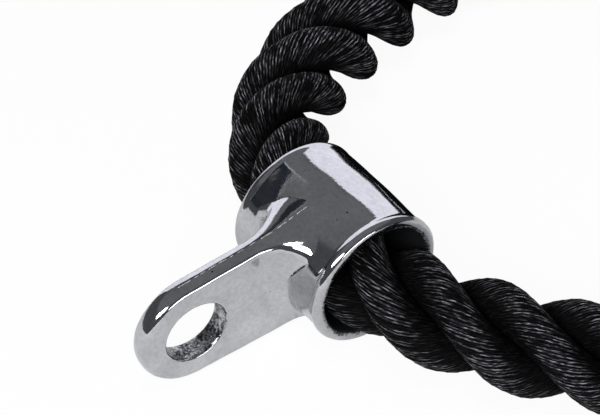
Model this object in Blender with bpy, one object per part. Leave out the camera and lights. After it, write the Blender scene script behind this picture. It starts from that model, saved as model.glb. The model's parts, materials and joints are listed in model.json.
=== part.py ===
# Triceps rope attachment, in metres, +Z up.
# A cast collar with a flat lug and an eye turns on a thick three-strand rope.
# The rope lies on a table in a wide U, and each end is held in a rubber stop.
# The origin is on the table, at the middle of the footprint of the rigid pieces.
# The collar's bore runs along X, the lug points to -Y, the rope's arms go to +Y.

import bpy
import bmesh
import numpy as np
from math import acos, asin, atan2, ceil, cos, pi, sin, sqrt
from mathutils import Matrix, Vector

# Collar
bore_radius = 0.0160
collar_wall = 0.0033
collar_length = 0.0364
lip_round = 0.0018            # outer corner of each lip
mouth_round = 0.0009          # inner corner of each lip

# Lug and eye
eye_distance = 0.0447         # from the collar's axis to the eye's axis
eye_radius = 0.0088
lug_half_width = 0.0157       # also the radius of the lug's round end
lug_thickness = 0.0062
edge_round = 0.0030           # how far the lug's rounded edge stands out beyond its flat faces
edge_fade = 0.0090            # height over the collar in which that rounding fades out
flare_radius = 0.0150         # where the lug's upper edge runs out onto the collar
root_fillet = 0.0058          # between the lug's faces and the collar
eye_chamfer = 0.0005
root_sink = 0.0003            # how deep the edges and the root fillet end below the collar's surface

# Rope
strand_count = 3
strand_radius = 0.00615
strand_gap = 0.0005           # between neighbouring strands, across the rope
lay_length = 0.0660           # one full turn of a strand
lay_phase = 0.35              # radians, the first strand's place in the middle of the collar

# Rubber stops and what holds them
stop_wall = 0.0074            # rubber round the socket
neck_wall = 0.0047            # rubber round the rope at the neck
neck_length = 0.0100
neck_blend = 0.0140
stop_round = 0.0050
groove_depth = 0.0012
groove_width = 0.0036
shoulder_depth = 0.0280       # from the neck's face to the shoulder inside the stop
washer_thickness = 0.0016
band_length = 0.0160
band_wall = 0.0024
band_flute_depth = 0.0005     # shallow rolled grooves round the band
cap_thickness = 0.0075
cap_skirt = 0.0022
cap_dish = 0.0010

# Fits
touch_gap = 0.0003            # between pieces that rest on each other
rope_fit = 0.0004             # round the rope in a stop, a washer or a band
bore_rest = 0.0005            # between the rope and the bottom of the collar's bore

# Facets
collar_sides = 48
stop_sides = 28
strand_sides = 8
rings_per_lay = 12
arc_steps = 4

# The rope's route in plan, from the far stop to the near stop, in metres from the collar's middle.
# The two shares say how much of the lift to the bore and of the lift to the stops each point has.
route = (
    (-0.0955, 0.2755, 0.0, 1.0),
    (-0.0945, 0.2600, 0.0, 0.97),
    (-0.0930, 0.2400, 0.0, 0.76),
    (-0.0914, 0.2200, 0.0, 0.42),
    (-0.0901, 0.2000, 0.0, 0.13),
    (-0.0891, 0.1800, 0.0, 0.01),
    (-0.0884, 0.1550, 0.0, 0.0),
    (-0.0878, 0.1300, 0.0, 0.0),
    (-0.0866, 0.1050, 0.0, 0.0),
    (-0.0832, 0.0800, 0.0, 0.0),
    (-0.0775, 0.0590, 0.01, 0.0),
    (-0.0690, 0.0410, 0.03, 0.0),
    (-0.0575, 0.0248, 0.10, 0.0),
    (-0.0435, 0.0126, 0.33, 0.0),
    (-0.0300, 0.0052, 0.68, 0.0),
    (-0.0180, 0.0013, 0.95, 0.0),
    (-0.0080, 0.0002, 1.0, 0.0),
    (0.0080, 0.0002, 1.0, 0.0),
    (0.0180, 0.0013, 0.95, 0.0),
    (0.0290, 0.0052, 0.68, 0.0),
    (0.0410, 0.0122, 0.33, 0.0),
    (0.0540, 0.0222, 0.10, 0.0),
    (0.0690, 0.0345, 0.03, 0.0),
    (0.0850, 0.0477, 0.01, 0.0),
    (0.1030, 0.0630, 0.0, 0.0),
    (0.1210, 0.0792, 0.0, 0.0),
    (0.1385, 0.0965, 0.0, 0.0),
    (0.1550, 0.1150, 0.0, 0.01),
    (0.1670, 0.1300, 0.0, 0.13),
    (0.1785, 0.1455, 0.0, 0.42),
    (0.1895, 0.1615, 0.0, 0.76),
    (0.2000, 0.1780, 0.0, 0.97),
    (0.2080, 0.1910, 0.0, 1.0),
)

# Worked out from the sizes above
collar_radius = bore_radius + collar_wall
half_length = collar_length / 2
half_thickness = lug_thickness / 2
strand_offset = (2 * strand_radius + strand_gap) / (2 * sin(pi / strand_count))
rope_radius = strand_offset + strand_radius
droop = asin((collar_radius - lug_half_width) / eye_distance)
bore_height = collar_radius - bore_radius + bore_rest + rope_radius
table_height = rope_radius + touch_gap
seat_radius = rope_radius + rope_fit
neck_radius = seat_radius + neck_wall
band_radius = seat_radius + band_wall
socket_radius = band_radius + rope_fit
stop_radius = socket_radius + stop_wall
stop_height = stop_radius
washer_start = shoulder_depth + touch_gap
band_start = washer_start + washer_thickness + touch_gap
band_end = band_start + band_length
cap_start = band_end + touch_gap
stop_length = cap_start + cap_thickness


# Scene and materials

for old in list(bpy.data.objects):
    bpy.data.objects.remove(old, do_unlink=True)


def make_material(name, color, roughness, metallic):
    material = bpy.data.materials.new(name)
    material.use_nodes = True
    shader = material.node_tree.nodes["Principled BSDF"]
    shader.inputs["Base Color"].default_value = (*color, 1.0)
    shader.inputs["Roughness"].default_value = roughness
    shader.inputs["Metallic"].default_value = metallic
    material.diffuse_color = (*color, 1.0)
    return material


chrome = make_material("chrome_plate", (0.62, 0.63, 0.64), 0.10, 1.0)
nylon = make_material("black_nylon", (0.012, 0.012, 0.013), 0.45, 0.0)
rubber = make_material("black_rubber", (0.018, 0.018, 0.018), 0.65, 0.0)
zinc_steel = make_material("zinc_steel", (0.55, 0.56, 0.57), 0.35, 1.0)
aluminium = make_material("pressed_aluminium", (0.70, 0.70, 0.71), 0.40, 1.0)
cap_plastic = make_material("cap_plastic", (0.025, 0.025, 0.026), 0.50, 0.0)


def make_empty(name, location, rotation, parent):
    empty = bpy.data.objects.new(name, None)
    bpy.context.scene.collection.objects.link(empty)
    empty.location = location
    empty.rotation_mode = "QUATERNION"
    empty.rotation_quaternion = rotation
    empty.parent = parent
    return empty


def make_object(name, verts, faces, material, parent, smooth_angle=0.6):
    mesh = bpy.data.meshes.new(name)
    mesh.from_pydata([tuple(v) for v in verts], [], faces)
    shape = bmesh.new()
    shape.from_mesh(mesh)
    bmesh.ops.recalc_face_normals(shape, faces=shape.faces)
    shape.to_mesh(mesh)
    shape.free()
    mesh.materials.append(material)
    mesh.shade_smooth()
    mesh.set_sharp_from_angle(angle=smooth_angle)
    piece = bpy.data.objects.new(name, mesh)
    bpy.context.scene.collection.objects.link(piece)
    piece.parent = parent
    return piece


# Profiles and turned pieces

def arc(center_x, center_r, radius, start, end, steps=arc_steps):
    """Points of an arc, angles in radians, both ends included."""
    turns = [start + (end - start) * i / steps for i in range(steps + 1)]
    return [(center_x + radius * cos(a), center_r + radius * sin(a)) for a in turns]


def turned(name, profile, sides, material, parent):
    """A closed profile of (x, radius) points, turned about X."""
    count = len(profile)
    verts = []
    for k in range(sides):
        angle = 2 * pi * k / sides
        verts += [(x, r * cos(angle), r * sin(angle)) for x, r in profile]
    faces = []
    for k in range(sides):
        here = k * count
        there = ((k + 1) % sides) * count
        for i in range(count):
            j = (i + 1) % count
            faces.append((here + i, here + j, there + j, there + i))
    return make_object(name, verts, faces, material, parent)


def lathe_solid(name, profile, sides, material, parent):
    """An open profile that starts and ends on the axis, turned about X."""
    inner = profile[1:-1]
    count = len(inner)
    verts = [(profile[0][0], 0, 0), (profile[-1][0], 0, 0)]
    for k in range(sides):
        angle = 2 * pi * k / sides
        verts += [(x, r * cos(angle), r * sin(angle)) for x, r in inner]
    faces = []
    for k in range(sides):
        here = 2 + k * count
        there = 2 + ((k + 1) % sides) * count
        faces.append((0, here, there))
        for i in range(count - 1):
            faces.append((here + i, here + i + 1, there + i + 1, there + i))
        faces.append((here + count - 1, 1, there + count - 1))
    return make_object(name, verts, faces, material, parent)


# Collar fitting: collar, lug and eye are one casting

def collar_profile():
    outer = collar_radius - lip_round
    inner = bore_radius + mouth_round
    front = half_length - lip_round
    mouth = half_length - mouth_round
    near_lip = arc(front, outer, lip_round, pi / 2, 0)
    near_mouth = arc(mouth, inner, mouth_round, 0, -pi / 2, 3)
    far_mouth = [(-x, r) for x, r in reversed(near_mouth)]
    far_lip = [(-x, r) for x, r in reversed(near_lip)]
    return near_lip + near_mouth + far_mouth + far_lip


def lug_outline():
    """The lug's outline at mid-thickness, as (y, z) points with their outward normals.

    From the tip it runs round the upper half of the eye's end, along the upper edge and out
    onto the collar in a flare. Then it goes back inside the collar's wall to the lower edge,
    a straight line that touches both the collar and the eye's end, and round to the tip.
    Points inside the wall have no normal, because nothing is rounded there, and they stay
    on the stretch of the wall that faces the eye, so that no face folds over.
    """
    run_out = collar_radius - root_sink
    flare_height = lug_half_width + flare_radius
    reach = run_out + flare_radius
    flare_back = sqrt(reach ** 2 - flare_height ** 2)
    flare_turn = atan2(flare_back, flare_height)
    upper_end = atan2(flare_height, -flare_back)
    lower_end = 3 * pi / 2 - asin((run_out - lug_half_width) / eye_distance)
    closing_radius = bore_radius + collar_wall * 0.35
    closing_share = 0.8
    closing_turn = acos(closing_radius / (collar_radius + root_fillet + eye_radius)) * closing_share
    closing_start = max(upper_end, pi - closing_turn)
    closing_end = min(lower_end, pi + closing_turn)
    points = []
    tip_steps = 9
    for i in range(tip_steps + 1):
        a = pi - (pi / 2) * i / tip_steps
        points.append((-eye_distance + lug_half_width * cos(a), lug_half_width * sin(a), cos(a), sin(a)))
    upper_edge_shares = (0.08, 0.18, 0.30, 0.50, 0.75, 1.0)
    for share in upper_edge_shares:
        points.append((-eye_distance + (eye_distance - flare_back) * share, lug_half_width, 0, 1))
    flare_steps = 5
    for i in range(1, flare_steps + 1):
        a = -pi / 2 + flare_turn * i / flare_steps
        y = -flare_back + flare_radius * cos(a)
        z = flare_height + flare_radius * sin(a)
        points.append((y, z, -cos(a), -sin(a)))
    closing_steps = 14
    for i in range(closing_steps + 1):
        a = closing_start + (closing_end - closing_start) * i / closing_steps
        points.append((closing_radius * cos(a), closing_radius * sin(a), 0, 0))
    out_y = cos(lower_end)
    out_z = sin(lower_end)
    lower_edge_shares = (0.0, 0.08, 0.17, 0.28, 0.42, 0.60, 0.74, 0.84, 0.92, 1.0)
    for share in lower_edge_shares:
        radius = run_out + (lug_half_width - run_out) * share
        points.append((out_y * radius - eye_distance * share, out_z * radius, out_y, out_z))
    for i in range(1, tip_steps):
        a = lower_end + (pi - lower_end) * i / tip_steps
        points.append((-eye_distance + lug_half_width * cos(a), lug_half_width * sin(a), cos(a), sin(a)))
    return points


def face_corner(y, z, out_y, out_z):
    """Where the rounded edge meets the flat face. The rounding fades out onto the collar."""
    height = sqrt(y * y + z * z) - collar_radius
    inset = edge_round * min(max(height / edge_fade, 0), 1)
    return y - out_y * inset, z - out_z * inset


def lug_half_thickness(y, z):
    """Half the lug's thickness, which grows in the root fillet close to the collar."""
    height = sqrt(y * y + z * z) - collar_radius + root_sink
    if height >= root_fillet:
        return half_thickness
    side = root_fillet - max(height, 0)
    return half_thickness + root_fillet - sqrt(root_fillet ** 2 - side ** 2)


def lug_hub(corners):
    """A flat oblong round the eye that ends where the root fillet starts.

    It has one (y, z) point for each corner of the face, on the line to that corner from the
    nearest point of the oblong's own middle line.
    """
    rim_radius = eye_radius + eye_chamfer
    hub_share = 0.25
    radius = rim_radius + (lug_half_width - edge_round - rim_radius) * hub_share
    hub_end = min(collar_radius + root_fillet + radius, eye_distance)
    hub = []
    for y, z in corners:
        along = min(max(y, -eye_distance), -hub_end)
        away = sqrt((y - along) ** 2 + z ** 2)
        hub.append((along + (y - along) * radius / away, z * radius / away))
    return hub


def lug_form(parent):
    """The lug as rings: eye wall, flat face, root fillet and rounded edge, on both sides."""
    outline = lug_outline()
    corners = [face_corner(*point) for point in outline]
    hub = lug_hub(corners)
    count = len(outline)
    edge_steps = 3
    face_shares = (1.0, 0.9, 0.8, 0.68, 0.54, 0.38, 0.2)
    rings = []

    def edge_ring(turn):
        """One ring of the rounded edge, turned by this angle from mid-thickness to a face."""
        places = []
        for (y, z, _, _), (cy, cz) in zip(outline, corners):
            py = cy + (y - cy) * cos(turn)
            pz = cz + (z - cz) * cos(turn)
            places.append(Vector((lug_half_thickness(py, pz) * sin(turn), py, pz)))
        return places

    def face_ring(side, share):
        places = []
        for (hy, hz), (cy, cz) in zip(hub, corners):
            py = hy + (cy - hy) * share
            pz = hz + (cz - hz) * share
            places.append(Vector((side * lug_half_thickness(py, pz), py, pz)))
        return places

    def eye_ring(x, radius):
        places = []
        for hy, hz in hub:
            away = sqrt((hy + eye_distance) ** 2 + hz ** 2)
            ry = -eye_distance + (hy + eye_distance) * radius / away
            places.append(Vector((x, ry, hz * radius / away)))
        return places

    rings.append(eye_ring(half_thickness - eye_chamfer, eye_radius))
    rings.append(eye_ring(half_thickness, eye_radius + eye_chamfer))
    rings.append(face_ring(1, 0))
    rings += [face_ring(1, s) for s in reversed(face_shares)]
    rings += [edge_ring(pi / 2 * (1 - i / edge_steps)) for i in range(1, 2 * edge_steps)]
    rings += [face_ring(-1, s) for s in face_shares]
    rings.append(face_ring(-1, 0))
    rings.append(eye_ring(-half_thickness, eye_radius + eye_chamfer))
    rings.append(eye_ring(eye_chamfer - half_thickness, eye_radius))
    verts = [v for ring in rings for v in ring]
    faces = []
    for k in range(len(rings)):
        here = k * count
        there = ((k + 1) % len(rings)) * count
        for i in range(count):
            j = (i + 1) % count
            faces.append((here + i, here + j, there + j, there + i))
    form = make_object("lug_form", verts, faces, chrome, parent)
    form.hide_render = True
    form.display_type = "WIRE"
    return form


def make_fitting(parent):
    collar = turned("collar_fitting", collar_profile(), collar_sides, chrome, parent)
    join = collar.modifiers.new("lug", "BOOLEAN")
    join.operation = "UNION"
    join.object = lug_form(parent)
    return collar


# Rope: three laid strands along one smooth route

def smooth_curve(points, steps):
    """A natural cubic spline through the points, by chord length."""
    points = np.array(points)
    gaps = np.linalg.norm(np.diff(points, axis=0), axis=1)
    knots = np.concatenate([[0], np.cumsum(gaps)])
    count = len(points)
    system = np.zeros((count, count))
    right = np.zeros((count, 3))
    system[0, 0] = 1
    system[-1, -1] = 1
    for i in range(1, count - 1):
        system[i, i - 1] = gaps[i - 1]
        system[i, i] = 2 * (gaps[i - 1] + gaps[i])
        system[i, i + 1] = gaps[i]
        slope_after = (points[i + 1] - points[i]) / gaps[i]
        slope_before = (points[i] - points[i - 1]) / gaps[i - 1]
        right[i] = 6 * (slope_after - slope_before)
    bend = np.linalg.solve(system, right)
    places = []
    for t in np.linspace(0, knots[-1], steps):
        i = min(int(np.searchsorted(knots, t, side="right")) - 1, count - 2)
        gap = gaps[i]
        after = t - knots[i]
        before = gap - after
        start = points[i] / gap - bend[i] * gap / 6
        end = points[i + 1] / gap - bend[i + 1] * gap / 6
        cubic = bend[i] * before ** 3 + bend[i + 1] * after ** 3
        places.append(cubic / (6 * gap) + start * before + end * after)
    return np.array(places)


def rope_centreline():
    """Evenly spaced points along the rope, with straight ends inside the stops."""
    bore_lift = bore_height - table_height
    stop_lift = stop_height - table_height
    points = []
    for x, y, bore_share, stop_share in route:
        points.append((x, y, table_height + bore_lift * bore_share + stop_lift * stop_share))
    curve = smooth_curve(points, 1200)
    far_way = curve[0] - curve[1]
    near_way = curve[-1] - curve[-2]
    ends = []
    for tip, way in ((curve[0], far_way), (curve[-1], near_way)):
        flat = np.array((way[0], way[1], 0))
        ends.append((tip, flat / np.linalg.norm(flat)))
    far_tip = ends[0][0] + ends[0][1] * band_end
    near_tip = ends[1][0] + ends[1][1] * band_end
    whole = np.vstack([far_tip, curve, near_tip])
    travel = np.concatenate([[0], np.cumsum(np.linalg.norm(np.diff(whole, axis=0), axis=1))])
    ring_count = ceil(travel[-1] / (lay_length / rings_per_lay)) + 1
    stations = np.linspace(0, travel[-1], ring_count)
    line = np.stack([np.interp(stations, travel, whole[:, k]) for k in range(3)], axis=1)
    middle = travel[1 + int(np.argmin(np.abs(curve[:, 0]) + np.abs(curve[:, 1])))]
    return line, stations, middle, ends


def rope_frames(line):
    """Across and up directions at every station, square to the rope."""
    ways = np.gradient(line, axis=0)
    ways /= np.linalg.norm(ways, axis=1)[:, None]
    across = np.cross(np.array((0, 0, 1)), ways)
    across /= np.linalg.norm(across, axis=1)[:, None]
    return across, np.cross(ways, across)


def make_strand(index, line, stations, middle, parent):
    across, upward = rope_frames(line)
    turns = lay_phase + 2 * pi * ((stations - middle) / lay_length + index / strand_count)
    core = line + strand_offset * (np.cos(turns)[:, None] * across + np.sin(turns)[:, None] * upward)
    verts = []
    for i in range(len(line)):
        for k in range(strand_sides):
            a = turns[i] + 2 * pi * k / strand_sides
            verts.append(core[i] + strand_radius * (cos(a) * across[i] + sin(a) * upward[i]))
    faces = []
    for i in range(len(line) - 1):
        here = i * strand_sides
        there = here + strand_sides
        for k in range(strand_sides):
            n = (k + 1) % strand_sides
            faces.append((here + k, here + n, there + n, there + k))
    faces.append(tuple(range(strand_sides)))
    last = (len(line) - 1) * strand_sides
    faces.append(tuple(range(last, last + strand_sides)))
    name = "rope_strand_" + str(index + 1)
    make_object(name, verts, faces, nylon, parent, 0.9)


def least_strand_gap():
    """The least gap between two neighbouring strands' surfaces, measured on points.

    One ring of one strand is set against a quarter lay of its neighbour either way.
    """
    around = np.linspace(0, 2 * pi, 121)
    along = np.linspace(-lay_length / 4, lay_length / 4, 241)

    def ring(place, turn):
        rim = turn + around
        side = strand_offset * cos(turn) + strand_radius * np.cos(rim)
        rise = strand_offset * sin(turn) + strand_radius * np.sin(rim)
        return np.stack([np.full_like(rim, place), side, rise], axis=1)

    own = ring(0, 0)
    least = lay_length
    for place in along:
        turn = 2 * pi * (place / lay_length + 1 / strand_count)
        apart = np.linalg.norm(own[:, None] - ring(place, turn)[None], axis=2)
        least = min(least, float(apart.min()))
    return least


# Rubber stops: each is turned about X, with its neck at x = 0

def stop_profile():
    mid = neck_length + neck_blend
    outer_end = stop_length - stop_round
    blend = []
    for i in range(1, 6):
        t = i / 6
        ease = t * t * (3 - 2 * t)
        blend.append((neck_length + neck_blend * t, neck_radius + (stop_radius - neck_radius) * ease))
    grooves = []
    for share in (0.30, 0.70):
        center = mid + (outer_end - mid) * share
        half = groove_width / 2
        grooves += [
            (center - half, stop_radius),
            (center - half / 3, stop_radius - groove_depth),
            (center + half / 3, stop_radius - groove_depth),
            (center + half, stop_radius),
        ]
    neck_corner = (neck_radius - seat_radius) / 3
    outside = [(0, neck_radius - neck_corner), (neck_corner, neck_radius), (neck_length, neck_radius)]
    outside += blend + [(mid, stop_radius)] + grooves
    outside += arc(outer_end, stop_radius - stop_round, stop_round, pi / 2, 0)
    inside = [(stop_length, socket_radius), (shoulder_depth, socket_radius)]
    inside += [(shoulder_depth, seat_radius), (0, seat_radius)]
    return outside + inside


def washer_profile():
    x0 = washer_start
    x1 = washer_start + washer_thickness
    return [(x0, band_radius), (x1, band_radius), (x1, seat_radius), (x0, seat_radius)]


def band_profile():
    points = []
    for share in (0.2, 0.5, 0.8):
        center = band_start + band_length * share
        half = band_length / 12
        points += [
            (center - half, band_radius),
            (center, band_radius - band_flute_depth),
            (center + half, band_radius),
        ]
    outside = [(band_start, band_radius)] + points + [(band_end, band_radius)]
    return outside + [(band_end, seat_radius), (band_start, seat_radius)]


def cap_profile():
    lip = socket_radius - touch_gap
    top = stop_length
    return [
        (cap_start, 0),
        (cap_start, lip - cap_skirt / 2),
        (cap_start + cap_skirt / 2, lip),
        (top - cap_skirt / 4, lip),
        (top, lip - cap_skirt / 4),
        (top, lip - cap_skirt),
        (top - cap_dish, lip - cap_skirt - cap_dish),
        (top - cap_dish, 0),
    ]


def make_end(side, tip, way, parent):
    """One rope end: rubber stop, washer, crimped band and cap on the rope's axis."""
    turn = Vector((1, 0, 0)).rotation_difference(Vector(way))
    seat = make_empty(side + "_end", tip, turn, parent)
    turned(side + "_end_stop", stop_profile(), stop_sides, rubber, seat)
    turned(side + "_stop_washer", washer_profile(), stop_sides, zinc_steel, seat)
    turned(side + "_crimp_band", band_profile(), stop_sides, aluminium, seat)
    lathe_solid(side + "_end_cap", cap_profile(), stop_sides, cap_plastic, seat)


# Assembly

assembly = make_empty("assembly", (0, 0, 0), (1, 0, 0, 0), None)
swivel_turn = Matrix.Rotation(droop, 4, "X").to_quaternion()
swivel = make_empty("collar_swivel", (0, 0, collar_radius), swivel_turn, assembly)
make_fitting(swivel)

line, stations, middle, ends = rope_centreline()
for index in range(strand_count):
    make_strand(index, line, stations, middle, assembly)
make_end("far", ends[0][0], ends[0][1], assembly)
make_end("near", ends[1][0], ends[1][1], assembly)

# The origin goes to the middle of the rigid pieces' footprint
bpy.context.view_layer.update()
low = Vector((1, 1, 0))
high = Vector((-1, -1, 0))
for piece in bpy.data.objects:
    if piece.type != "MESH" or piece.name.startswith("rope_strand"):
        continue
    for vertex in piece.data.vertices:
        place = piece.matrix_world @ vertex.co
        for k in range(2):
            low[k] = min(low[k], place[k])
            high[k] = max(high[k], place[k])
assembly.location = (-(low[0] + high[0]) / 2, -(low[1] + high[1]) / 2, 0)
bpy.context.view_layer.update()

print("rope length", round(float(stations[-1]), 4), "rope radius", round(rope_radius, 5))
print("least gap between strands, mm", round(least_strand_gap() * 1000, 3))
print("collar centre", [round(v, 6) for v in swivel.matrix_world.translation])
eye_place = swivel.matrix_world @ Vector((0, -eye_distance, 0))
print("eye centre", [round(v, 6) for v in eye_place], "droop, degrees", round(droop * 180 / pi, 3))
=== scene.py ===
# Triceps rope attachment: the finish of every surface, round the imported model, in metres.

import json
from math import asin, ceil, cos, pi, radians, sin

import bpy
import numpy as np
from mathutils import Matrix, Vector


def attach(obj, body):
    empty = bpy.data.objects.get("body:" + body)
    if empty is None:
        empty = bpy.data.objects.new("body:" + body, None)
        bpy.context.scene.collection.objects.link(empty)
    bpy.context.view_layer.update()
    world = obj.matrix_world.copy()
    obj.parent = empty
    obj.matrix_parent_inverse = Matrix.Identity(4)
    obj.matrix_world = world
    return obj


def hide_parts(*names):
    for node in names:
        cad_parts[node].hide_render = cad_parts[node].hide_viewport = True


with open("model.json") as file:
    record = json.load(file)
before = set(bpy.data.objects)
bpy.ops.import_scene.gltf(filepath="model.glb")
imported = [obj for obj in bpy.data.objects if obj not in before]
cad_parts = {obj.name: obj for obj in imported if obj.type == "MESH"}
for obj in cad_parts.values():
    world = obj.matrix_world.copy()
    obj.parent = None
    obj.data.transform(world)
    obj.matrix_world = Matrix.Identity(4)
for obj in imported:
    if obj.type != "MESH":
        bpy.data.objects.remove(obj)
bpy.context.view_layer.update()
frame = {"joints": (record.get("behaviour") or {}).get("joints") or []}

mm = 0.001
collarCentre = Vector(frame["joints"][0]["pos_m"])


# Small helpers

def toLinear(hexColour):
    channels = [int(hexColour[i:i + 2], 16) / 255 for i in (1, 3, 5)]
    linear = [c / 12.92 if c <= 0.04045 else ((c + 0.055) / 1.055) ** 2.4 for c in channels]
    return (*linear, 1.0)


def addNode(owner, kind, inputs={}, output=0, **settings):
    # An input is a value, a hex colour or another node's output. It gives back one of its outputs
    tree = owner.node_tree
    node = tree.nodes.new("ShaderNode" + kind)
    for key, value in settings.items():
        setattr(node, key, value)
    for key, value in inputs.items():
        if isinstance(value, bpy.types.NodeSocket):
            tree.links.new(value, node.inputs[key])
        else:
            node.inputs[key].default_value = toLinear(value) if isinstance(value, str) else value
    return node.outputs[output] if node.outputs else node


# What many nodes share: a soft step between two values, and a mix of colours with its output
smooth = {"interpolation_type": "SMOOTHSTEP"}
blend = {"data_type": "RGBA", "output": 2}


def makeMaterial(name, surface, *options):
    material = bpy.data.materials.new(name)
    material.use_nodes = True
    material.node_tree.nodes.clear()
    addNode(material, "OutputMaterial", {"Surface": surface(material, *options)})
    return material


def addObject(name, data):
    thing = bpy.data.objects.new(name, data)
    bpy.context.scene.collection.objects.link(thing)
    return thing


def addPiece(name, points, faces, material, body=None, stands=()):
    mesh = bpy.data.meshes.new(name)
    mesh.from_pydata(points, [], faces)
    mesh.materials.append(material)
    mesh.shade_smooth()
    piece = addObject(name, mesh)
    if body:
        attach(piece, body)
    if stands:
        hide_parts(*stands)
    return piece


def skin(rows, columns, first=0, ring=False):
    # Faces between rows of points, each a closed loop. The first and last row meet or are capped
    grid = first + np.arange(rows * columns).reshape(rows, columns)
    upper = np.roll(grid, -1, axis=0)
    quads = np.stack([grid, upper, np.roll(upper, -1, axis=1), np.roll(grid, -1, axis=1)], axis=-1)
    if ring:
        return quads.reshape(-1, 4).tolist()
    return quads[:-1].reshape(-1, 4).tolist() + [grid[0].tolist(), grid[-1][::-1].tolist()]


def unit(vectors):
    return vectors / np.maximum(np.linalg.norm(vectors, axis=-1, keepdims=True), 1e-9)


def runningSum(steps):
    return np.concatenate([[0], np.cumsum(steps)])


def easeBetween(value, low, high):
    t = np.clip((value - low) / (high - low), 0, 1)
    return t * t * (3 - 2 * t)


def smoothNoise(random, rows, columns, every):
    # Each column wanders smoothly between random values that stand "every" rows apart
    knots = random.uniform(-1, 1, (rows // every + 3, columns))
    place = np.arange(rows) / every
    i = place.astype(int)
    t = (place - i)[:, None]
    t = t * t * (3 - 2 * t)
    return knots[i] * (1 - t) + knots[i + 1] * t


def fromTop(degrees):
    # The way out of the collar's axis, turned from straight up towards the lug
    return np.array((0, -sin(radians(degrees)), cos(radians(degrees))))


# Camera: the photograph's viewing angle, found from the collar's and the lug's outlines

cameraSetup = {
    "fromCollar": (0.219407, -0.166580, 0.277124),
    "azimuth": 54.6264,           # degrees round the object, 0 looks along +Y
    "elevation": 43.9078,
    "roll": -0.4435,
    "lens": 90,
    "sensor": 36,
    "sees": (0.01, 20),           # from and to, in metres
}


def makeCamera(setup):
    data = bpy.data.cameras.new("camera")
    data.lens = setup["lens"]
    data.sensor_width = setup["sensor"]
    data.clip_start, data.clip_end = setup["sees"]
    camera = addObject("camera", data)
    turn = Matrix.Rotation(radians(setup["azimuth"]), 4, "Z")
    turn = turn @ Matrix.Rotation(radians(90 - setup["elevation"]), 4, "X")
    turn = turn @ Matrix.Rotation(radians(setup["roll"]), 4, "Z")
    camera.matrix_world = Matrix.Translation(collarCentre + Vector(setup["fromCollar"])) @ turn
    bpy.context.scene.camera = camera


makeCamera(cameraSetup)
print("camera is set")


# Rope: three strands laid right-handed, each of many yarns

rope = {
    "collarRadius": 0.0193,
    "boreRadius": 0.0160,
    "boreRest": 0.0005,           # between the rope and the bottom of the bore
    "touchGap": 0.0003,
    "modelRadius": 0.01354,       # of the rope that rests on the table
    "stopRadius": 0.02414,
    "tail": 0.0462,               # straight end inside each stop
    "held": 0.0302,               # how deep in its stop the band holds it
    "routeSteps": 1200,
    "strandRadius": 0.00622,
    "strandSpread": 1.02,         # 1 would let the strands just touch
    # The far arm is laid more openly on its bend: distances from the collar's middle between
    # which a form sets in, and then those between which it fades
    "farSwell": 0.07,
    "swellSpan": (0.016, 0.045, 0.12, 0.19),
    "innerBulge": 0.0042,         # how far its strands stand out on the inside of the bend
    "bulgeSpan": (0.045, 0.100, 0.13, 0.20),
    "raise": 2.15,                # the rope's middle lies this much higher for what a strand swells
    "nearLay": 0.0655,            # length of one turn of a strand
    "farLay": 0.0690,
    "layChange": 0.03,            # how far beyond the middle the lay has become the far one
    "phase": 0.33,                # radians, the first strand's place in the collar
    "yarns": 44,                  # round one strand
    "halfCrown": 0.2,             # of a yarn's width
    "ringStep": 0.0023,
    "yarnDepth": 0.00042,         # from a yarn's crown to the groove beside it
    "yarnSideways": 0.25,         # how far a yarn wanders aside, in yarns, and outwards
    "yarnWander": 0.00012,
    "wanderSteps": (6, 5),        # rings between two turns of the same
    "pressed": 0.0001,            # nothing of it lies lower, where it presses on the table
    "valley": 0.0098,             # from the rope's middle to where the painted valley shade begins to lift
    "back": 0.0132,               # and to a strand's back, where the painted shade is gone
    "seed": 11,
}

# From the far stop to the near stop, from the collar's middle on the table. The two shares
# say how much of the lift to the bore and of the lift to the stops each point has.
ropeRoute = (
    (-0.0955, 0.2755, 0, 1),
    (-0.0945, 0.2600, 0, 0.97),
    (-0.0930, 0.2400, 0, 0.76),
    (-0.0914, 0.2200, 0, 0.42),
    (-0.0901, 0.2000, 0, 0.13),
    (-0.0891, 0.1800, 0, 0.01),
    (-0.0884, 0.1550, 0, 0),
    (-0.0878, 0.1300, 0, 0),
    (-0.0866, 0.1050, 0, 0),
    (-0.0832, 0.0800, 0, 0),
    (-0.0775, 0.0590, 0.01, 0),
    (-0.0690, 0.0410, 0.03, 0),
    (-0.0575, 0.0248, 0.10, 0),
    (-0.0435, 0.0126, 0.33, 0),
    (-0.0300, 0.0052, 0.68, 0),
    (-0.0180, 0.0013, 0.95, 0),
    (-0.0080, 0.0002, 1, 0),
    (0.0080, 0.0002, 1, 0),
    (0.0180, 0.0013, 0.95, 0),
    (0.0290, 0.0052, 0.68, 0),
    (0.0410, 0.0122, 0.33, 0),
    (0.0545, 0.0218, 0.10, 0),
    (0.0697, 0.0339, 0.03, 0),
    (0.0858, 0.0471, 0.01, 0),
    (0.1037, 0.0625, 0, 0),
    (0.1214, 0.0789, 0, 0),
    (0.1385, 0.0965, 0, 0),
    (0.1550, 0.1150, 0, 0.01),
    (0.1670, 0.1300, 0, 0.13),
    (0.1785, 0.1455, 0, 0.42),
    (0.1895, 0.1615, 0, 0.76),
    (0.2000, 0.1780, 0, 0.97),
    (0.2080, 0.1910, 0, 1),
)


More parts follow.
